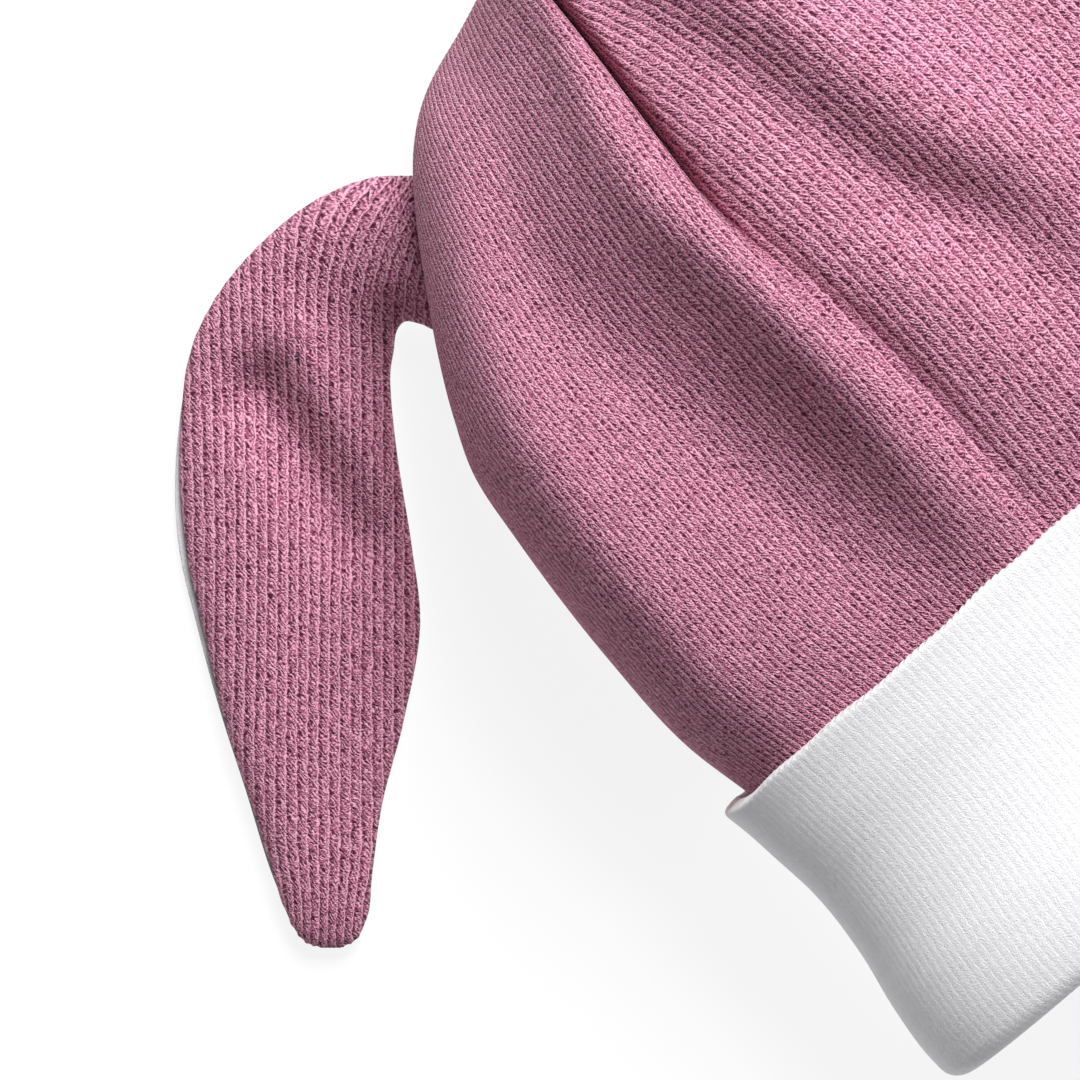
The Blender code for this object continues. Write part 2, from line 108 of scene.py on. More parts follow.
# Shapes of the crown's section: run goes from 0 at the cuff's edge to 1 at the far end, out is
# a share of HALF_WIDTH, up of CROWN_HEIGHT and rise of CROWN_RISE. round is the exponent of
# the front's squared circle.
CROWN_TABLE = np.array(
    [
        # run, side_out, side_up, side_rise, front_up, front_rise, back_up, back_rise, round
        (0.000, 1.000, 0.000, 0.470, 0.000, 0.905, 0.000, 0.000, 2.5),
        (0.075, 1.032, 0.092, 0.470, 0.092, 0.950, 0.092, -0.030, 2.5),
        (0.198, 1.034, 0.246, 0.470, 0.246, 0.985, 0.246, -0.030, 2.5),
        (0.352, 1.006, 0.438, 0.460, 0.438, 1.000, 0.438, -0.030, 2.5),
        (0.431, 0.982, 0.530, 0.440, 0.540, 1.000, 0.530, -0.030, 2.4),
        (0.520, 0.925, 0.605, 0.405, 0.650, 0.985, 0.610, -0.030, 2.3),
        (0.620, 0.855, 0.670, 0.350, 0.770, 0.920, 0.690, -0.020, 2.2),
        (0.714, 0.795, 0.710, 0.295, 0.872, 0.800, 0.765, -0.005, 2.1),
        (0.812, 0.725, 0.755, 0.240, 0.965, 0.620, 0.835, 0.020, 2.0),
        (0.893, 0.665, 0.790, 0.205, 1.005, 0.430, 0.880, 0.070, 2.0),
        (0.952, 0.630, 0.810, 0.185, 1.002, 0.285, 0.905, 0.120, 2.0),
        (1.000, 0.615, 0.822, 0.175, 0.960, 0.205, 0.925, 0.155, 2.0),
    ]
)

# Each soft fold's places and heights at FOLD_RUNS, then its breadth. Places and breadths are
# shares of the section's half width, and heights of CROWN_RISE.
FOLD_RUNS = (0.10, 0.26, 0.40, 0.55, 0.74)
FOLD_ROOT_SHARE, FOLD_ROOT_RUN = 0.4, 0.12  # what is left of the folds at the cuff's edge
FOLD_TABLE = {
    "left_swell": ((-0.86, -0.87, -0.86, -0.82, -0.70), (0.060, 0.090, 0.085, 0.045, 0.000), 0.12),
    "left_valley": ((-0.44, -0.47, -0.53, -0.60, -0.48), (-0.080, -0.125, -0.120, -0.110, -0.060), 0.18),
    "left_crest": ((-0.19, -0.19, -0.215, -0.260, -0.14), (0.060, 0.115, 0.105, 0.080, 0.060), 0.10),
    "middle_swell": ((0.06, 0.05, 0.00, -0.03, 0.00), (0.030, 0.085, 0.060, 0.020, 0.000), 0.14),
    "crease_tail": ((-0.07, -0.085, -0.13, -0.14, -0.14), (-0.030, -0.045, -0.045, -0.020, 0.000), 0.042),
    "right_ridge": ((0.17, 0.13, 0.08, 0.04, 0.03), (0.010, 0.012, 0.008, 0.000, 0.000), 0.07),
    "right_valley": ((0.33, 0.29, 0.17, 0.12, 0.03), (-0.010, -0.055, -0.040, -0.030, -0.020), 0.11),
    "right_swell": ((0.46, 0.44, 0.34, 0.31, 0.20), (0.010, 0.055, 0.125, 0.145, 0.125), 0.18),
    "far_valley": ((0.70, 0.68, 0.66, 0.64, 0.60), (-0.010, -0.030, -0.035, -0.030, -0.010), 0.12),
}

# The deep fold's place as a share of the section's half width, its depth and bank as shares of
# CREASE_DEPTH and BANK_DEPTH, and the share of the stitch columns that it swallows.
CREASE_TABLE = np.array(
    [
        # run, across, depth, bank, swallowed
        (0.00, -0.130, 0.00, 0.00, 0.010),
        (0.26, -0.135, 0.00, 0.00, 0.010),
        (0.36, -0.138, 0.10, 0.20, 0.011),
        (0.46, -0.150, 0.45, 0.60, 0.014),
        (0.56, -0.138, 0.80, 0.90, 0.022),
        (0.70, -0.115, 1.00, 1.00, 0.040),
        (0.86, -0.095, 1.00, 1.00, 0.072),
        (0.94, -0.080, 0.60, 0.60, 0.080),
        (1.00, 0.000, 0.00, 0.00, 0.080),
    ]
)

# Stitch columns at the hat's side, as a share of all of them, counted from the back's middle.
SIDE_WALE_TABLE = np.array([(0.00, 0.250), (0.35, 0.252), (0.60, 0.268), (1.00, 0.290)])

# How far the cuff stands out below its free edge, both as shares of CUFF_HEIGHT.
CUFF_FLARE_TABLE = np.array(
    [
        # below, out
        (0.00, 0.018),
        (0.08, 0.004),
        (0.19, -0.008),
        (0.34, -0.022),
        (0.56, -0.006),
        (0.73, 0.027),
        (0.88, 0.044),
        (1.00, 0.040),
    ]
)

# The ear's sections: across is a share of EAR_WIDTH, along of EAR_LENGTH from the root, lift of
# EAR_ROOT_LIFT and puff of EAR_PUFF.
EAR_TABLE = np.array(
    [
        # outer_across, outer_along, inner_across, inner_along, lift, puff
        (0.520, -0.140, 0.560, 0.060, 1.00, 1.30),
        (0.200, -0.122, 0.260, 0.090, 1.00, 1.40),
        (-0.050, -0.108, 0.042, 0.106, 0.95, 1.40),
        (-0.274, -0.104, -0.056, 0.096, 0.70, 1.35),
        (-0.517, -0.070, -0.124, 0.092, 0.40, 1.25),
        (-0.752, -0.006, -0.162, 0.106, 0.15, 1.12),
        (-0.936, 0.069, -0.175, 0.134, 0.03, 1.00),
        (-1.051, 0.155, -0.190, 0.181, 0.00, 0.90),
        (-1.098, 0.284, -0.160, 0.284, 0.00, 0.88),
        (-1.081, 0.414, -0.098, 0.414, 0.00, 0.94),
        (-0.996, 0.543, -0.060, 0.536, 0.00, 1.00),
        (-0.897, 0.672, -0.132, 0.672, 0.00, 1.00),
        (-0.786, 0.787, -0.222, 0.787, 0.00, 0.95),
        (-0.692, 0.888, -0.265, 0.885, 0.00, 0.85),
        (-0.615, 0.953, -0.286, 0.948, 0.00, 0.72),
        (-0.538, 0.989, -0.333, 0.986, 0.00, 0.55),
        (-0.457, 1.000, -0.406, 1.000, 0.00, 0.34),
    ]
)
EAR_DENTS = {
    # from and to, across and along the ear, then depth and half width
    "dent": ((-0.76, 0.20), (-0.36, 0.40), 4.8 * MM, 6.0 * MM),
    "ridge": ((-0.58, 0.12), (-0.18, 0.33), -2.4 * MM, 5.5 * MM),
}

# The share of LINING_SHOWS by which the lining's outer edge is set out along the ear. The
# coloured layer's edge is set out by the rest of it.
LINING_TABLE = np.array(
    [
        # along, shows
        (-0.20, 0.0),
        (0.06, 0.0),
        (0.22, 0.55),
        (0.38, 1.0),
        (0.55, 0.9),
        (0.70, 0.6),
        (0.92, 0.5),
        (1.00, 0.0),
    ]
)
FAN_START_SHARE = 0.10  # above this the ear's stitch columns lean towards the crown
FAN_BEND = 0.016 / MM
FAN_FROM_SHARE, FAN_FULL_SHARE = -0.75, -0.15
TIP_FROM = 0.84  # from here on the ear's stitch columns gather towards TIP_ACROSS
TIP_ACROSS = -0.45
TIP_GATHER = 0.4
TIP_RELIEF = 2.2  # the ribs gain this many times their relief by the tip
EAR_NEAR = 60.0 * MM  # only the crown's skin this near an ear is looked at to trim it
CUFF_HUG = 2.2 * MM  # the free edge's inner face draws in to the crown this far at the sides
CUFF_HUG_REACH = 9.0 * MM
EDGE_WAVE = 0.25 * MM
EDGE_SCALLOP = 0.30 * MM  # the free edge steps in this far between stitch columns
EDGE_REACH = 3.0 * MM
SEAM_PINCH = 0.75
SEAM_LIP = 1.5 * MM

# Stage and camera
FLOOR_REACH = 3.0
FLOOR_TONE = 0.14
FLOOR_GLOW = 0.86
SKY_STRENGTH = 0.16
KEY_SIZE = 1.15
KEY_POWER = 69.0
KEY_PLACE = (1.18, 0.78, 1.52)
KEY_TARGET = (0.0, 0.05, 0.03)
LENS_MM = 300.0
SENSOR_MM = 36.0
VIEW_WIDTH = 0.180
VIEW_CENTRE = (-0.0681, 0.0839, 0.030)
VIEW_UP = (0.669, 0.743, 0.0)


def smooth_rows(table, at):
    """Cubic through the table's rows: with s from 0 to 1 between two rows, the value is
    (1 + 2s)(1 - s)^2 a + s^2 (3 - 2s) b + step * (s (1 - s)^2 da + s^2 (s - 1) db)."""
    table = np.asarray(table, float)
    knots, values = table[:, 0], table[:, 1:]
    slopes = np.gradient(values, knots, axis=0)
    at = np.clip(np.atleast_1d(at), knots[0], knots[-1])
    i = np.clip(np.searchsorted(knots, at, side="right") - 1, 0, len(knots) - 2)
    step = (knots[i + 1] - knots[i])[:, None]
    s = (at - knots[i])[:, None] / step
    start = (1 + 2 * s) * (1 - s) ** 2 * values[i] + s * (1 - s) ** 2 * step * slopes[i]
    end = s**2 * (3 - 2 * s) * values[i + 1] + s**2 * (s - 1) * step * slopes[i + 1]
    return start + end


def ease(x):
    """x^2 (3 - 2x), held at 0 below 0 and at 1 above 1."""
    x = np.clip(x, 0.0, 1.0)
    return x * x * (3 - 2 * x)


def unit_ring(exponent):
    """Squared circle from the back's middle round by the left: with turn t from 0 to 2 pi,
    across = -sign(sin t) |sin t|^p and height = |cos t|^p, where p is 2 / exponent."""
    turn = np.linspace(0.0, 2 * math.pi, DENSE, endpoint=False)
    sine, cosine = np.sin(turn), np.cos(turn)
    power = np.where(cosine > 0, 2 / BACK_EXPONENT, 2 / exponent)
    across = -np.sign(sine) * np.abs(sine) ** power
    height = np.abs(cosine) ** power
    front = np.where(cosine < 0, height, 0.0)
    back = np.where(cosine > 0, np.minimum(height * BACK_FLATTEN_RATIO, 1.0), 0.0)
    return across, front, back


def along_ring(ring, guide, marks, shares, wanted):
    """Points at the wanted shares of a closed ring, where the marked points have the given
    shares and the cloth is even by the guide ring's length between them."""
    closed = np.vstack([ring, ring[:1]])
    steps = np.linalg.norm(np.diff(np.vstack([guide, guide[:1]]), axis=0), axis=1)
    arc = np.concatenate([[0.0], np.cumsum(steps)])
    lengths = np.interp(wanted, shares, arc[marks])
    return np.column_stack([np.interp(lengths, arc, closed[:, axis]) for axis in range(3)])


def fold_lift(across, run):
    """Sum over the soft folds of height * exp(-((across - place) / breadth)^2)."""
    fade = ease((1.0 - run) / FOLD_FADE_SHARE)
    fade *= FOLD_ROOT_SHARE + (1 - FOLD_ROOT_SHARE) * ease(run / FOLD_ROOT_RUN)
    lift = np.zeros_like(across)
    for places, lifts, breadth in FOLD_TABLE.values():
        rows = np.column_stack([FOLD_RUNS, places, lifts])
        place, height = smooth_rows(rows, run)[0]
        lift += height * CROWN_RISE * np.exp(-(((across - place) / breadth) ** 2))
    return lift * fade


def crown_ring(run, shares, widen=0.0, folded=1.0):
    """One stitch row of the crown at the wanted shares of its stitch columns. The plain
    section is side + front * (top - side) + back * (under - side), the folds lift it along
    top - side, and the deep fold sinks by depth * exp(-|x / half width|^CREASE_SHAPE), with the
    bank on its right lower by BANK_DEPTH * exp(-x / BANK_REACH). The stitch columns are even by
    the section's length without its soft folds, so they run straight, and the deep fold
    swallows more and more of those on its right. widen is added to the deep fold's half width,
    and folded is the share of all folds to keep."""
    side_out, side_up, side_rise, front_up, front_rise, back_up, back_rise, power = smooth_rows(
        CROWN_TABLE, run
    )[0]
    across, front, back = unit_ring(power)
    half = side_out * HALF_WIDTH
    side = np.array([side_up * CROWN_HEIGHT, side_rise * CROWN_RISE])
    top = np.array([front_up * CROWN_HEIGHT, front_rise * CROWN_RISE])
    bed = (CUFF_WALL + CUFF_BED_GAP) * (1 - ease(back_up * CROWN_HEIGHT / SAG_RUN))
    under = np.array([back_up * CROWN_HEIGHT, back_rise * CROWN_RISE + bed])
    x = across * half
    yz = side + front[:, None] * (top - side) + back[:, None] * (under - side)
    outward = (top - side) / np.linalg.norm(top - side)

    place, depth, bank, swallowed = smooth_rows(CREASE_TABLE, run)[0]
    off = x - place * half
    slot = CREASE_DEPTH * depth * np.exp(-np.abs(off / (CREASE_HALF_WIDTH + widen)) ** CREASE_SHAPE)
    step = ease((off + widen + BANK_STEP) / (2 * BANK_STEP))
    low = BANK_DEPTH * bank * step * np.exp(-np.maximum(off - widen, 0.0) / BANK_REACH)
    sunk = folded * (slot + low) * (front > 0)
    lift = folded * fold_lift(across, run) * ease(front / FOLD_SIDE_SHARE)
    guide = np.column_stack([x, yz - sunk[:, None] * outward])
    yz = yz + (lift - sunk)[:, None] * outward
    leaned = x - CREASE_LEAN * sunk
    ring = np.column_stack([leaned, yz[:, 0] + CUFF_EDGE_Y, np.maximum(yz[:, 1], 0.0)])

    quarter = DENSE // 4
    lips = quarter + np.searchsorted(off[quarter : 3 * quarter], [-CREASE_LIP, CREASE_LIP])
    side_share = smooth_rows(SIDE_WALE_TABLE, run)[0][0]
    marks = [0, quarter, *lips, 3 * quarter, DENSE]
    placed = [0.0, side_share, 0.5, 0.5 + swallowed, 1 - side_share + swallowed / 2, 1.0]
    return along_ring(ring, guide, marks, placed, shares)


def skin_normals(grid):
    """Unit normals of a grid of closed rings: (next column - last column) x (next row - last
    row)."""
    along = np.gradient(grid, axis=0)
    across = np.roll(grid, -1, axis=1) - np.roll(grid, 1, axis=1)
    normal = np.cross(across, along)
    return normal / np.linalg.norm(normal, axis=2, keepdims=True)


def rib(wales):
    """Height of a stitch column across its width, (1 - cos(2 pi (u - 1/3))) / 2."""
    return (1 - np.cos(2 * math.pi * (wales - 1 / 3))) / 2


class Patchwork:
    """Points, four-cornered faces, end caps and stitch places of one piece, gathered before
    they go into its mesh."""

    def __init__(self):
        self.points, self.quads, self.corners, self.caps = [], [], [], []
        self.count = 0

    def grid(self, points, wales, courses, closed=True, inwards=False):
        """A grid of stitch rows. wales is the stitch column of each column and its end, and
        courses the stitch row of each row. Returns the index of each point."""
        rows, columns = points.shape[:2]
        index = self.count + np.arange(rows * columns).reshape(rows, columns)
        self.points.append(points.reshape(-1, 3))
        self.count += rows * columns
        after = np.roll(index, -1, axis=1) if closed else index[:, 1:]
        here = index if closed else index[:, :-1]
        quads = np.stack([here[:-1], after[:-1], after[1:], here[1:]], axis=-1).reshape(-1, 4)
        wales = np.broadcast_to(wales, (rows, here.shape[1] + 1))
        courses = np.broadcast_to(np.asarray(courses, float).reshape(rows, -1), wales.shape)
        places = np.stack([wales, courses], axis=-1)
        left, right = places[:, :-1], places[:, 1:]
        corners = np.stack([left[:-1], right[:-1], right[1:], left[1:]], axis=2).reshape(-1, 4, 2)
        if inwards:
            quads, corners = quads[:, ::-1], corners[:, ::-1]
        self.quads.append(quads)
        self.corners.append(corners)
        return index

    def band(self, first, second, wales, course):
        """Faces from one closed row of points to another, at one stitch row."""
        quads = np.stack([first, np.roll(first, -1), np.roll(second, -1), second], axis=-1)
        places = np.column_stack([wales, np.full(len(wales), course)])
        left, right = places[:-1], places[1:]
        self.quads.append(quads)
        self.corners.append(np.stack([left, right, right, left], axis=1))

    def cap(self, row, course):
        """One face over a closed row of points."""
        self.caps.append((row, course))

    def build(self, name, finish):
        """The mesh object, with the stitch places as its UV map."""
        points = np.vstack(self.points)
        quads = np.vstack(self.quads)
        corners = np.vstack(self.corners).reshape(-1, 2)
        starts = np.arange(0, quads.size, 4)
        vertex = quads.ravel()
        for row, course in self.caps:
            starts = np.append(starts, len(vertex))
            vertex = np.concatenate([vertex, row])
            places = np.column_stack([np.arange(len(row)) / 4, np.full(len(row), course)])
            corners = np.vstack([corners, places])
        mesh = bpy.data.meshes.new(name)
        mesh.vertices.add(len(points))
        mesh.vertices.foreach_set("co", points.astype(np.float32).ravel())
        mesh.loops.add(len(vertex))
        mesh.loops.foreach_set("vertex_index", vertex.astype(np.int32))
        mesh.polygons.add(len(starts))
        mesh.polygons.foreach_set("loop_start", starts.astype(np.int32))
        mesh.update(calc_edges=True)
        layer = mesh.uv_layers.new(name="stitches")
        layer.uv.foreach_set("vector", corners.astype(np.float32).ravel())
        mesh.shade_smooth()
        made = bpy.data.objects.new(name, mesh)
        bpy.context.scene.collection.objects.link(made)
        mesh.materials.append(finish)
        return made


class Field:
    """A number at each point of a material, so that node maths can be written as sums."""

    def __init__(self, tree, socket):
        self.tree, self.socket = tree, socket

    def of(self, operation, *others, clamp=False):
        """The operation on this number and the others."""
        node = self.tree.nodes.new("ShaderNodeMath")
        node.operation = operation
        node.use_clamp = clamp
        for slot, value in zip(node.inputs, (self, *others)):
            if isinstance(value, Field):
                self.tree.links.new(value.socket, slot)
            else:
                slot.default_value = value
        return Field(self.tree, node.outputs[0])

    def __add__(self, other):
        return self.of("ADD", other)

    def __sub__(self, other):
        return self.of("SUBTRACT", other)

    def __mul__(self, other):
        return self.of("MULTIPLY", other)

    def __rsub__(self, other):
        return (self * -1.0) + other

    __radd__ = __add__
    __rmul__ = __mul__

    def fract(self):
        return self.of("FRACT")

    def floor(self):
        return self.of("FLOOR")

    def step(self, low, high):
        """0 at low and 1 at high, with an eased step between."""
        node = self.tree.nodes.new("ShaderNodeMapRange")
        node.interpolation_type = "SMOOTHSTEP"
        for slot, value in zip(("Value", "From Min", "From Max"), (self, low, high)):
            if isinstance(value, Field):
                self.tree.links.new(value.socket, node.inputs[slot])
            else:
                node.inputs[slot].default_value = value
        return Field(self.tree, node.outputs["Result"])


def joined(tree, *parts):
    """Three fields or numbers as one vector socket."""
    node = tree.nodes.new("ShaderNodeCombineXYZ")
    for slot, value in zip(node.inputs, parts):
        if isinstance(value, Field):
            tree.links.new(value.socket, slot)
        else:
            slot.default_value = value
    return node.outputs[0]


def noise(tree, vector, scale, detail=2.0, roughness=0.5):
    """Smooth noise from 0 to 1, with finer layers added to it detail times."""
    node = tree.nodes.new("ShaderNodeTexNoise")
    node.inputs["Scale"].default_value = scale
    node.inputs["Detail"].default_value = detail
    node.inputs["Roughness"].default_value = roughness
    tree.links.new(vector, node.inputs["Vector"])
    return Field(tree, node.outputs["Fac"])


def chance(tree, vector):
    """A random number from 0 to 1 for each whole-numbered place."""
    node = tree.nodes.new("ShaderNodeTexWhiteNoise")
    tree.links.new(vector, node.inputs["Vector"])
    return Field(tree, node.outputs["Value"])


def blended(tree, share, first, second):
    """Colour between two colours, each a tuple or a socket."""
    node = tree.nodes.new("ShaderNodeMix")
    node.data_type = "RGBA"
    tree.links.new(share.socket, node.inputs["Factor"])
    for slot, value in ((node.inputs[6], first), (node.inputs[7], second)):
        if isinstance(value, tuple):
            slot.default_value = (*value, 1.0)
        else:
            tree.links.new(value, slot)
    return node.outputs[2]


def knit_material(
    name, gap_shade, yarn, fibre_and_highlight, strength, gap_shade_depth, fleck, fuzz, depth, roughness, sheen, edge_tint=None
):
    """Plain knit seen on its right side, in stitch units (u counts columns, v rows). A thin
    line wanders up each column near u = 0.14, painted brighter than the yarn as the highlight
    on its lit side, and beside it slanting strands, cos(2 pi strands (v + lean u)), make one
    and a half turns to a row. A hole sits between them once a row, near u = 0.40, in a shallow
    trough along u = 0.36, and both are painted dark as the shade in the knit's hollows. The
    highest parts take a colour that is partly light fibres and partly painted highlight. fuzz
    is the share of the relief that is fluff and not stitches, and the last argument lays a
    beige tint over the stitches of the row v = 0."""
    lean, strands, turn = 1.6, 1.5, 2 * math.pi
    made = bpy.data.materials.new(name)
    made.use_nodes = True
    tree = made.node_tree
    shader = tree.nodes["Principled BSDF"]
    place = tree.nodes.new("ShaderNodeUVMap")
    place.uv_map = "stitches"
    split = tree.nodes.new("ShaderNodeSeparateXYZ")
    tree.links.new(place.outputs["UV"], split.inputs["Vector"])
    u = Field(tree, split.outputs["X"])
    v = Field(tree, split.outputs["Y"])

    wander = noise(tree, joined(tree, u * 1.3, v * 0.7, 0.0), 1.0, 2.0)
    jitter = noise(tree, joined(tree, u * 1.1, v * 0.9, 7.3), 1.0, 1.0)
    u = u + (wander - 0.5) * 0.55
    v = v + (jitter - 0.5) * 1.0
    column = u.floor()
    across = u.fract()
    shift = chance(tree, joined(tree, column, 3.0, 0.0))

    slant = v + across * lean + shift
    thread = noise(tree, joined(tree, u * 3.0, v * 1.1, 4.0), 1.0, 2.0, 0.6)
    from_line = (across - thread * 0.16 - 0.06).of("ABSOLUTE")
    from_line = from_line.of("MINIMUM", 1.0 - from_line)
    line = 1.0 - from_line.step(0.04, 0.19)
    line = line * (thread.step(0.30, 0.60) * 0.35 + 0.65)

    row = v + shift
    each = chance(tree, joined(tree, column, row.floor(), 5.0))
    other = chance(tree, joined(tree, column, row.floor(), 9.0))
    # Painted shade: the hole and the trough beside it are darkened as the shade that falls into the
    # knit's hollows, and the same mask lowers the relief.
    hole_v = (row.fract() - 0.5) * 0.80
    hole_u = across - 0.33 - other * 0.14 + hole_v * 0.4
    hole_shade = (hole_u * hole_u + hole_v * hole_v).of("SQRT")
    hole_shade = (1.0 - hole_shade.step(0.06, 0.34)) * (each * 0.9 + 0.28)
    trough_shade = 1.0 - (across - 0.36).of("ABSOLUTE").step(0.02, 0.24)
    hole_shade = hole_shade.of("MAXIMUM", trough_shade * 0.34)

    warp = noise(tree, joined(tree, u * 2.3, v * 2.3, 2.0), 1.0, 2.0, 0.6)
    strand = ((slant + (warp - 0.5) * 0.8) * (turn * strands)).of("COSINE") * 0.5 + 0.5
    flecks = noise(tree, joined(tree, u * 1.4, slant * 3.0, 1.0), 1.0, 1.0, 0.7)
    grain = noise(tree, joined(tree, u * 4.5, v * 4.0, 3.0), 1.0, 0.0, 0.5)
    tone = noise(tree, joined(tree, u * 0.5, v * 0.5, 11.0), 1.0, 3.0, 0.6)

    fibres = (flecks - 0.5) * fleck + (grain - 0.5) * fleck
    cover = (strand - 0.5) * strength + 0.85 + fibres + (tone - 0.5) * 0.4
    # The painted shade darkens the colour in the holes and lowers the height that the bump reads.
    cover = cover - hole_shade * gap_shade_depth
    # The line is painted brighter than the yarn, as the highlight on its lit side.
    cover = cover.of("MAXIMUM", line * (1.28 + fibres * 0.7))
    colour = blended(tree, cover.of("ADD", 0.0, clamp=True), gap_shade, yarn)
    # Painted highlight: where the line and the light flecks stand highest, the colour goes to one that is
    # partly light fibres and partly highlight.
    fibre_and_highlight_share = cover.step(0.72, 1.25)
    colour = blended(tree, fibre_and_highlight_share, colour, fibre_and_highlight)
    # A beige tint laid over the stitches of the row v = 0.
    if edge_tint:
        near = v + (grain - 0.5) * 0.5
        on_edge = near.step(-0.75, -0.35) * (1.0 - near.step(0.5, 0.9))
        dots = hole_shade.of("MINIMUM", 1.0) * 0.6 + (flecks - 0.5) * 1.2 + 0.35
        colour = blended(tree, on_edge * dots.of("ADD", 0.0, clamp=True), colour, edge_tint)
    tree.links.new(colour, shader.inputs["Base Color"])

    fluff = noise(tree, joined(tree, u * 4.0, v * 4.0, 6.0), 1.0, 3.0, 0.7)
    height = cover * (1.0 - fuzz) + (fluff - 0.5) * fuzz
    bump = tree.nodes.new("ShaderNodeBump")
    bump.inputs["Strength"].default_value = 1.0
    bump.inputs["Distance"].default_value = depth
    tree.links.new(height.socket, bump.inputs["Height"])
    tree.links.new(bump.outputs["Normal"], shader.inputs["Normal"])
    shader.inputs["Roughness"].default_value = roughness
    shader.inputs["Specular IOR Level"].default_value = 0.2
    shader.inputs["Sheen Weight"].default_value = sheen
    shader.inputs["Sheen Roughness"].default_value = 0.5
    return made


mauve = knit_material(
    "mauve_knit",
    # The dark colour is painted shade in the knit's holes.
    gap_shade=(0.065, 0.009, 0.028),
    yarn=(0.50, 0.160, 0.262),
    # Partly light fibres and partly a painted highlight.
    fibre_and_highlight=(0.80, 0.40, 0.525),
    strength=0.55,
    gap_shade_depth=0.85,
    fleck=1.7,
    fuzz=0.1,
    depth=0.20 * MM,
    roughness=0.9,
    sheen=0.06,
)
white = knit_material(
    "white_knit",
    # The greyer colour is painted shade in the knit's holes.
    gap_shade=(0.80, 0.795, 0.83),
    yarn=(0.91, 0.905, 0.93),
    # Partly light fibres and partly a painted highlight.
    fibre_and_highlight=(0.95, 0.945, 0.965),
    strength=0.15,
    gap_shade_depth=0.20,
    fleck=0.5,
    fuzz=0.80,
    depth=0.22 * MM,
    roughness=0.95,
    sheen=0.15,
    # A beige tint along the free edge's row.
    edge_tint=(0.66, 0.56, 0.48),
)


def stitch_steps(wales, fine, coarse):
    """Stitch columns of a ring's points: fine steps over the front, coarse ones elsewhere."""
    first, last = round(FRONT_FROM * wales), round(FRONT_TO * wales)
    before = np.arange(0, first, coarse)
    middle = np.arange(first, last, fine)
    after = np.arange(last, wales, coarse)
    return np.concatenate([before, middle, after])


def front_ribs(steps, shares, relief):
    """Relief of the stitch columns over the front, rib * relief, which fades out over the last
    RIB_FADE of RIB_REACH."""
    return rib(steps) * relief * ease((np.abs(shares - 0.5) - RIB_REACH) / -RIB_FADE)


def closed_wales(steps, wales):
    """Stitch columns of a ring's points and of its end, where it closes."""
    return np.append(steps, wales)


def seam_lip(ring):
    """The crown's last row drawn together: each point goes SEAM_PINCH of the way to the middle
    line between front and back at its own x, and SEAM_LIP further along the hat."""
    half = len(ring) // 2
    turned = np.roll(ring, -np.argmin(ring[:, 0]), axis=0)
    if turned[half // 2, 2] <= turned[-half // 2, 2]:
        turned = np.roll(turned[::-1], 1, axis=0)
    far = np.argmax(turned[:, 0])
    front, back = turned[: far + 1], np.vstack([turned[far:], turned[:1]])[::-1]

    def at_own_x(face):
        """The face's y and z at the x of each of the ring's points."""
        return np.column_stack([np.interp(ring[:, 0], face[:, 0], face[:, axis]) for axis in (1, 2)])

    middle = (at_own_x(front) + at_own_x(back)) / 2
    drawn = ring.copy()
    drawn[:, 1:] += (middle - ring[:, 1:]) * SEAM_PINCH
    drawn[:, 1] += SEAM_LIP
    return drawn


def make_crown():
    """An outer skin of stitch rows and a plainer inner one, one wall apart, joined under the
    cuff and closed at the far seam."""
    steps = stitch_steps(CROWN_WALES, fine=0.25, coarse=0.5)
    shares = steps / CROWN_WALES
    relief = front_ribs(steps, shares, RIB_RELIEF)
    wales = closed_wales(steps, CROWN_WALES)
    patch = Patchwork()

    def skin(runs, tucks, widen=0.0, folded=1.0):
        """Stitch rows at the runs, after the rows that are tucked under the cuff."""
        rings = [crown_ring(run, shares, widen, folded) for run in runs]
        tucked = [rings[0] - np.array([0.0, CROWN_TUCK * share, 0.0]) for share in tucks]
        return np.array(tucked + rings)

    runs = np.linspace(0.0, 1.0, CROWN_ROWS)
    tucks = np.array([1.0, 0.66, 0.33])
    outer = skin(runs, tucks)
    normals = skin_normals(outer)
    outer = outer + normals * (relief[None, :, None] - RIB_RELIEF / 2)
    outer = np.concatenate([outer, seam_lip(outer[-1])[None]])
    outer[..., 2] = np.maximum(outer[..., 2], 0.0)
    courses = np.concatenate([-tucks * CROWN_TUCK / CROWN_HEIGHT, runs, [1.01]]) * CROWN_COURSES
    outside = patch.grid(outer, wales, courses)

    inner_runs = np.linspace(0.0, SEAM_START_SHARE, INNER_ROWS)
    inner = skin(inner_runs, [1.0], CROWN_WALL)
    inner = inner - skin_normals(skin(inner_runs, [1.0], folded=0.0)) * CROWN_WALL
    inner_courses = np.concatenate([[-CROWN_TUCK / CROWN_HEIGHT], inner_runs]) * CROWN_COURSES
    inside = patch.grid(inner, wales, inner_courses, inwards=True)
    patch.band(inside[0], outside[0], wales, courses[0])
    patch.cap(outside[-1], courses[-1])
    patch.cap(inside[-1][::-1], inner_courses[-1])
    return patch.build("crown_knit", mauve)


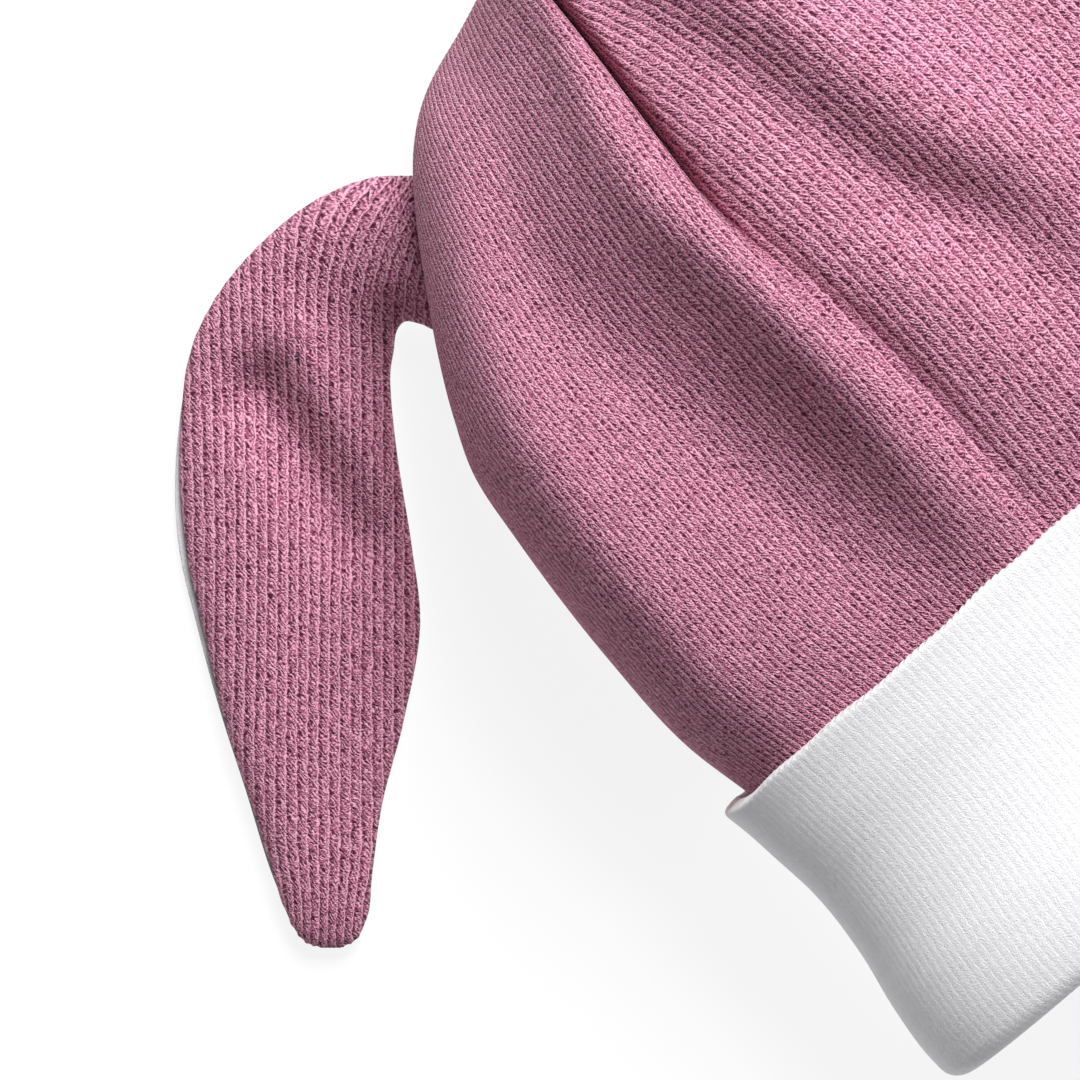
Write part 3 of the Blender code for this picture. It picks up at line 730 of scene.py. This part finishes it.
def cuff_ring(below, inset, back_inset, shares):
    """A ring round the cuff at a distance below its free edge, set in from its outer face. Near
    the edge the outer layer's inner face draws in to the crown by CUFF_HUG * |across|^6. The
    edge waves by EDGE_WAVE * (sin(9 t + 1) + 0.6 sin(23 t)), with t the turn round the ring, and
    steps out by EDGE_SCALLOP * |sin(pi u)| along each stitch column."""
    edge_half, edge_rise, power = CROWN_TABLE[0, 1], CROWN_TABLE[0, 5], CROWN_TABLE[0, 8]
    side_rise = CROWN_TABLE[0, 3] * CROWN_RISE
    flare = smooth_rows(CUFF_FLARE_TABLE, below / CUFF_HEIGHT)[0][0] * CUFF_HEIGHT
    outset = CUFF_SLOT + CUFF_WALL + flare - inset
    across, front, back = unit_ring(power)
    near_edge = 1 - ease(below / CUFF_HUG_REACH)
    outer_layer = inset < CUFF_WALL * 1.01
    inner_side = ease(inset / (CUFF_WALL / 2)) * outer_layer
    hug = CUFF_HUG * near_edge * np.abs(across) ** 6 * inner_side
    x = across * (edge_half * HALF_WIDTH + outset - hug)
    top = edge_rise * CROWN_RISE + outset
    z = side_rise + front * (top - side_rise) + back * (back_inset - side_rise)
    ring = np.column_stack([x, np.full(DENSE, CUFF_EDGE_Y - below), np.maximum(z, 0.0)])
    ring = along_ring(ring, ring, [0, DENSE // 2, DENSE], [0.0, 0.5, 1.0], shares)
    turn = shares * 2 * math.pi
    wave = (np.sin(9 * turn + 1.0) + 0.6 * np.sin(23 * turn)) * EDGE_WAVE
    scallop = np.abs(np.sin(shares * CUFF_WALES * math.pi)) * EDGE_SCALLOP
    ring[:, 1] += (wave + scallop) * (1 - ease(below / EDGE_REACH)) * outer_layer
    return ring


def cuff_profile():
    """The hairpin as (below, inset, back inset, stitch row): down the outer face, round the
    rim in a half circle, up the inner face, and back between the two layers."""
    side = np.cumsum([0.0, CUFF_WALL, CUFF_SLOT, CUFF_WALL])
    back = np.cumsum([0.0, CUFF_WALL, CUFF_BED_GAP, CUFF_WALL])
    radius = side[3] / 2
    straight = CUFF_HEIGHT - radius
    inner_top = CROWN_TUCK + SEAT_GAP
    corner = CUFF_WALL / 2

    def rounded(turn):
        """A row of the free edge's half circle, whose crest is at a turn of pi / 2."""
        inset = corner * (1 - math.cos(turn))
        return corner * (1 - math.sin(turn)), inset, inset

    def bend(layer, steps):
        """Rows of the rim's half circle: the outer face is layer 0, and the slot's side 1."""
        for turn in np.linspace(0.0, math.pi, steps):
            share = (1 - math.cos(turn)) / 2
            reach = (side[3 - layer] - side[layer]) / 2
            inset = side[layer] + 2 * reach * share
            back_inset = back[layer] + (back[3 - layer] - back[layer]) * share
            yield straight + reach * math.sin(turn), inset, back_inset

    rows = [rounded(turn) for turn in np.linspace(math.pi / 2, 0.0, 5)[:-1]]
    rows += [(b, 0.0, 0.0) for b in np.linspace(corner, straight, 88)[:-1]]
    rows += list(bend(0, 13))
    rows += [(b, side[3], back[3]) for b in np.linspace(straight, inner_top, 20)[1:]]
    rows += [(inner_top, side[2], back[2])]
    rows += [(b, side[2], back[2]) for b in np.linspace(inner_top, straight, 6)[1:-1]]
    rows += list(bend(1, 5))[::-1]
    rows += [(b, side[1], back[1]) for b in np.linspace(straight, corner, 8)[1:]]
    rows += [rounded(turn) for turn in np.linspace(math.pi, math.pi / 2, 5)[1:-1]]
    rows = np.array(rows)
    arc = np.concatenate([[0.0], np.cumsum(np.linalg.norm(np.diff(rows[:, :2], axis=0), axis=1))])
    return rows, -arc / CUFF_COURSE


def make_cuff():
    """The hairpin carried round the hat, with each stitch column a shallow rib."""
    steps = stitch_steps(CUFF_WALES, fine=0.25, coarse=1.0)
    shares = steps / CUFF_WALES
    relief = front_ribs(steps, shares, CUFF_RELIEF)
    rows, courses = cuff_profile()
    rings = np.array([cuff_ring(*row, shares) for row in rows])
    along = np.roll(rings, -1, axis=0) - np.roll(rings, 1, axis=0)
    across = np.roll(rings, -1, axis=1) - np.roll(rings, 1, axis=1)
    normals = np.cross(along, across)
    normals /= np.linalg.norm(normals, axis=2, keepdims=True)
    rings = rings + normals * (relief[None, :, None] - CUFF_RELIEF / 2)
    rings[..., 2] = np.maximum(rings[..., 2], 0.0)
    patch = Patchwork()
    wales = closed_wales(steps, CUFF_WALES)
    index = patch.grid(rings, wales, courses, inwards=True)
    patch.band(index[0], index[-1], wales, courses[0])
    return patch.build("cuff_knit", white)


def crown_form():
    """Points and outward normals of the crown's skin near its ears, for trimming them."""
    shares = np.arange(180) / 180
    grid = np.array([crown_ring(run, shares) for run in np.linspace(0.3, 1.0, 70)])
    return grid.reshape(-1, 3), skin_normals(grid).reshape(-1, 3)


def ear_frame(side):
    """Middle of the ear's root, the two directions in plan, across it by EAR_WIDTH and along it
    by EAR_LENGTH, and -1 for the left ear or 1 for the right."""
    splay = math.radians(EAR_SPLAY_DEG[side])
    mirror = -1.0 if side == "left" else 1.0
    along = np.array([mirror * math.sin(splay), -math.cos(splay)])
    across = np.array([-mirror * math.cos(splay), -math.sin(splay)])
    root = np.array([mirror * EAR_ROOT_OUT, CUFF_EDGE_Y + EAR_ROOT_UP])
    return root, np.array([across * EAR_WIDTH, along * EAR_LENGTH]), mirror


def ear_rows(at):
    """The ear's sections at places along it, counted in rows of its table."""
    table = np.column_stack([np.arange(len(EAR_TABLE)), EAR_TABLE])
    return smooth_rows(table, at.ravel()).reshape(*at.shape, -1)


def ear_flat(at, share):
    """Table rows at places along the ear, and each point's place in the ear's own plan."""
    rows = ear_rows(at)
    outer, inner = rows[..., 0:2], rows[..., 2:4]
    return rows, outer + (inner - outer) * share[..., None]


def tip_share(along):
    """0 along most of the ear, easing to 1 at its tip."""
    return ease((along - TIP_FROM) / (1 - TIP_FROM))


def ear_stitches(flat, mirror):
    """Stitch column and row of points in the ear's plan. The columns run straight along the
    ear, near the root lean over by FAN_BEND * height^2 towards the crown, and gather at the
    tip, where their distance from its middle counts 1 + TIP_GATHER times."""
    across, along = flat[..., 0], flat[..., 1]
    height = np.maximum(FAN_START_SHARE - along, 0.0) * EAR_LENGTH
    weight = ease((across - FAN_FROM_SHARE) / (FAN_FULL_SHARE - FAN_FROM_SHARE))
    lean = weight * FAN_BEND * height**2
    across = across + (across - TIP_ACROSS) * TIP_GATHER * tip_share(along)
    wales = -mirror * (across * EAR_WIDTH - lean) / EAR_WALE
    return wales, -along * EAR_LENGTH / EAR_COURSE - EAR_ROWS


def ear_dent(flat):
    """Depth of the ear's dents at places in its plan: the sum of depth * exp(-(distance to the
    dent's line / half width)^2)."""
    sizes = np.array([EAR_WIDTH, EAR_LENGTH])
    place = flat * sizes
    sunk = np.zeros(flat.shape[:-1])
    for start_share, end_share, depth, half_width in EAR_DENTS.values():
        start, end = start_share * sizes, end_share * sizes
        line = end - start
        near = np.clip(((place - start) @ line) / (line @ line), 0.0, 1.0)
        away = np.linalg.norm(place - start - near[..., None] * line, axis=-1)
        sunk += depth * np.exp(-((away / half_width) ** 2))
    return sunk


def ear_surface(side, at, share, layer):
    """Points of one face of an ear's layer, on a grid of places along it (at) and shares
    across it from its outer edge. The coloured layer arches over the lining: above its base it
    rises by edge + (room - dent) * (1 - |2 share - 1|^EAR_ARCH_EXPONENT)^0.5."""
    root, turn, _ = ear_frame(side)
    rows, flat = ear_flat(at, share)
    plan = root + flat @ turn
    lift = rows[..., 4] * EAR_ROOT_LIFT
    base = lift + EAR_WALL + SEAT_GAP
    if layer == "lining_low":
        height = lift
    elif layer == "lining_high":
        height = lift + EAR_WALL
    else:
        from_middle = np.abs(2 * share - 1)
        arch = np.sqrt(np.clip(1 - from_middle**EAR_ARCH_EXPONENT, 0.0, 1.0))
        room = np.maximum(rows[..., 5] * EAR_PUFF - EAR_WALL - SEAT_GAP - EAR_EDGE, 0.0)
        height = base + EAR_EDGE + (room - ear_dent(flat)) * arch
        if layer == "knit_low":
            height = np.maximum(height - EAR_WALL, base)
    outwards = (rows[..., 0:2] - rows[..., 2:4]) @ turn
    outwards /= np.linalg.norm(outwards, axis=-1, keepdims=True)
    shows = smooth_rows(LINING_TABLE, rows[..., 1].ravel())[:, 0].reshape(at.shape) * LINING_SHOWS
    if layer.startswith("knit"):
        shows = LINING_SHOWS - shows
    plan = plan + outwards * (shows * (1 - share))[..., None]
    return np.concatenate([plan, height[..., None]], axis=-1)


def ear_start(side, share, form):
    """Place along the ear, for each share across it, where it leaves the crown: the first one
    past all that are not yet SEAT_GAP outside their nearest point of the crown's skin."""
    skin, normals = form
    at = np.linspace(0.0, 8.0, 60)
    places, shares = np.meshgrid(at, share, indexing="ij")
    points = ear_surface(side, places, shares, "knit_high")
    near = np.linalg.norm(skin - points.mean(axis=(0, 1)), axis=1) < EAR_NEAR
    gaps = points[:, :, None, :] - skin[near][None, None, :, :]
    nearest = np.argmin((gaps**2).sum(axis=-1), axis=-1)
    off = np.take_along_axis(gaps, nearest[..., None, None], axis=2)[:, :, 0]
    outside = (off * normals[near][nearest]).sum(axis=-1) > SEAT_GAP
    last_inside = len(at) - 1 - np.argmax(~outside[::-1], axis=0)
    return at[np.minimum(last_inside + 1, len(at) - 1)]


def make_ear_layer(side, layer, finish, form, columns, rows):
    """A closed layer of an ear: an upper and a lower face on the same grid, from the crown to
    the tip, with a rounded rim between them."""
    coarse = np.linspace(0.0, 1.0, 25)
    start = ear_start(side, coarse, form)
    share = (1 - np.cos(np.linspace(0.0, math.pi, columns))) / 2
    share = 0.35 * share + 0.65 * np.linspace(0.0, 1.0, columns)
    begin = np.interp(share, coarse, start)
    end = len(EAR_TABLE) - 1.0
    s = np.linspace(0.0, 1.0, rows)[:, None]
    at = begin[None, :] + (end - begin)[None, :] * s
    shares = np.broadcast_to(share, at.shape)
    high = ear_surface(side, at, shares, f"{layer}_high")
    low = ear_surface(side, at, shares, f"{layer}_low")

    mirror = ear_frame(side)[2]
    flat = ear_flat(at, shares)[1]
    wales, courses = ear_stitches(flat, mirror)

    if layer == "knit":
        slope = np.gradient(high, axis=0)
        across = np.gradient(high, axis=1)
        normal = np.cross(slope, across)
        normal *= np.sign(normal[..., 2].mean())
        normal /= np.linalg.norm(normal, axis=-1, keepdims=True) + 1e-12
        relief = EAR_RELIEF * (1 + TIP_RELIEF * tip_share(flat[..., 1]))
        high = high + normal * ((rib(wales) - 0.5) * relief)[..., None]
        high[..., 2] = np.maximum(high[..., 2], 0.0)

    patch = Patchwork()
    top = patch.grid(high, wales, courses, closed=False)
    under = patch.grid(low, wales, courses, closed=False, inwards=True)
    upper_rim, lower_rim = [
        np.concatenate([face[0, :-1], face[:-1, -1], face[-1, :0:-1], face[:0:-1, 0]])
        for face in (top, under)
    ]
    around = closed_wales(np.arange(len(upper_rim)) * 0.5, len(upper_rim) * 0.5)
    patch.band(lower_rim, upper_rim, around, 0.0)
    node = "outer" if layer == "knit" else "lining"
    return patch.build(f"ear_{side}_{node}_knit", finish)


def make_stage():
    """Plain pale floor that gives off most of its brightness as a glow of its own, which also
    lights the hat from below and lightens the shadows cast on the floor, key light from the
    hat's right and soft light all round."""
    floor_mesh = bpy.data.meshes.new("floor")
    size = FLOOR_REACH
    corners = [(-size, -size, 0.0), (size, -size, 0.0), (size, size, 0.0), (-size, size, 0.0)]
    floor_mesh.from_pydata(corners, [], [(0, 1, 2, 3)])
    floor = bpy.data.objects.new("floor", floor_mesh)
    bpy.context.scene.collection.objects.link(floor)
    paint = bpy.data.materials.new("floor_white")
    paint.use_nodes = True
    shader = paint.node_tree.nodes["Principled BSDF"]
    shader.inputs["Base Color"].default_value = (FLOOR_TONE, FLOOR_TONE, FLOOR_TONE, 1.0)
    shader.inputs["Roughness"].default_value = 1.0
    shader.inputs["Emission Color"].default_value = (1.0, 1.0, 1.0, 1.0)
    shader.inputs["Emission Strength"].default_value = FLOOR_GLOW
    floor_mesh.materials.append(paint)

    world = bpy.data.worlds.new("soft_light")
    bpy.context.scene.world = world
    world.use_nodes = True
    sky = world.node_tree.nodes["Background"]
    sky.inputs["Color"].default_value = (1.0, 1.0, 1.0, 1.0)
    sky.inputs["Strength"].default_value = SKY_STRENGTH

    key = bpy.data.lights.new("key", "AREA")
    key.size = KEY_SIZE
    key.energy = KEY_POWER
    key_object = bpy.data.objects.new("key", key)
    bpy.context.scene.collection.objects.link(key_object)
    aim(key_object, KEY_PLACE, KEY_TARGET, (0.0, 0.0, 1.0))


def aim(thing, place, target, up):
    """Puts a camera or light at a place, looking at a target: its z axis is the way back
    from the target and its x axis is up x z."""
    place, target = np.array(place), np.array(target)
    back = (place - target) / np.linalg.norm(place - target)
    right = np.cross(up, back)
    right /= np.linalg.norm(right)
    matrix = np.eye(4)
    matrix[:3] = np.column_stack([right, np.cross(back, right), back, place])
    thing.matrix_world = Matrix(matrix.tolist())


def make_camera():
    """Looks straight down, turned so that the hat's axis runs to the picture's top left."""
    lens = bpy.data.cameras.new("camera")
    lens.lens = LENS_MM
    lens.sensor_width = SENSOR_MM
    lens.clip_start = 0.01
    camera = bpy.data.objects.new("camera", lens)
    bpy.context.scene.collection.objects.link(camera)
    distance = VIEW_WIDTH * LENS_MM / SENSOR_MM
    centre = np.array(VIEW_CENTRE)
    aim(camera, centre + np.array([0.0, 0.0, distance]), centre, VIEW_UP)
    bpy.context.scene.camera = camera


def finished(piece, node):
    """A piece that lies still with the hat and takes the place of a node of the frame."""
    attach(piece, "root")
    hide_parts(node)


finished(make_crown(), "crown")
finished(make_cuff(), "cuff")
form = crown_form()
for side in ("left", "right"):
    lining = make_ear_layer(side, "lining", white, form, columns=61, rows=121)
    outer = make_ear_layer(side, "knit", mauve, form, columns=151, rows=213)
    finished(lining, f"ear_{side}_lining")
    finished(outer, f"ear_{side}_outer")

make_stage()
make_camera()
bpy.context.scene.view_settings.view_transform = "Standard"
